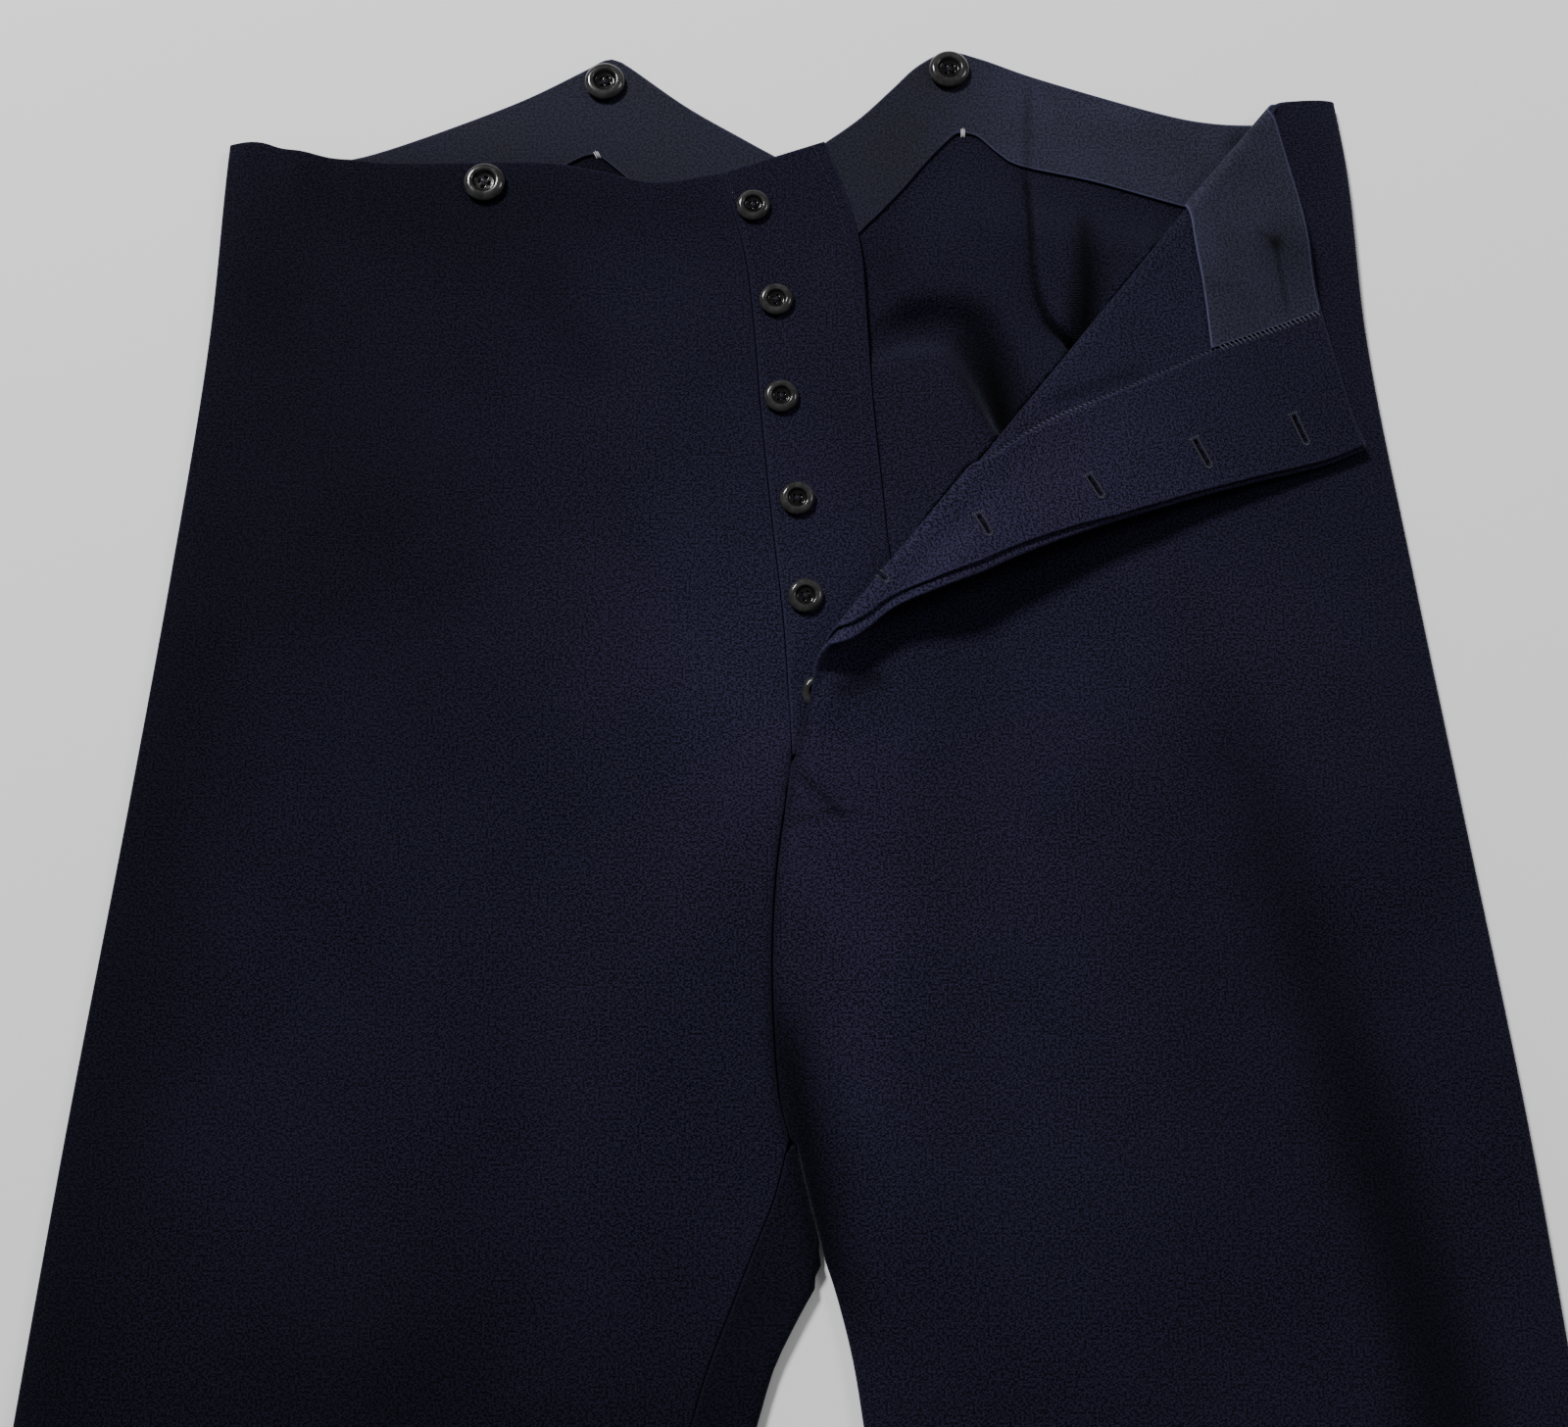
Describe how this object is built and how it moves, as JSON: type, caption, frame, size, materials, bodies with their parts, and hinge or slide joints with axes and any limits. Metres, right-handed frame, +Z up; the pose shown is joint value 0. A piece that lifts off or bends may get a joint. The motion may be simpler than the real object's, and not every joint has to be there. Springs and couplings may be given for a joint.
{
  "type": "uniform trousers",
  "caption": "High-waisted button-fly wool uniform trousers with a fishtail back, laid flat front up with the wearer's left front folded open at the fly.",
  "frame": {"origin": "middle of the laid garment's plan, on the surface it lies on", "axes": "+Z up out of the surface, +Y from the hems towards the waist, +X towards the wearer's left leg"},
  "size_m": [0.6138, 1.1736, 0.0266],
  "materials": {
    "navy_wool": "matt, short felted nap over a fine twill",
    "facing_twill": "matt fine twill",
    "button_black": "polished, slightly worn rim"
  },
  "bodies": {
    "root": {"right_front": "navy_wool", "left_front": "navy_wool", "right_back": "navy_wool", "left_back": "navy_wool", "button_stand": "navy_wool", "fly_facing": "navy_wool", "left_front_facing": "facing_twill", "left_back_facing": "facing_twill", "right_back_facing": "facing_twill", "fly_button_1": "button_black", "fly_button_2": "button_black", "fly_button_3": "button_black", "fly_button_4": "button_black", "fly_button_5": "button_black", "fly_button_6": "button_black", "right_front_brace_button": "button_black", "left_front_brace_button": "button_black", "right_back_brace_button": "button_black", "left_back_brace_button": "button_black"}
  },
  "joints": []
}
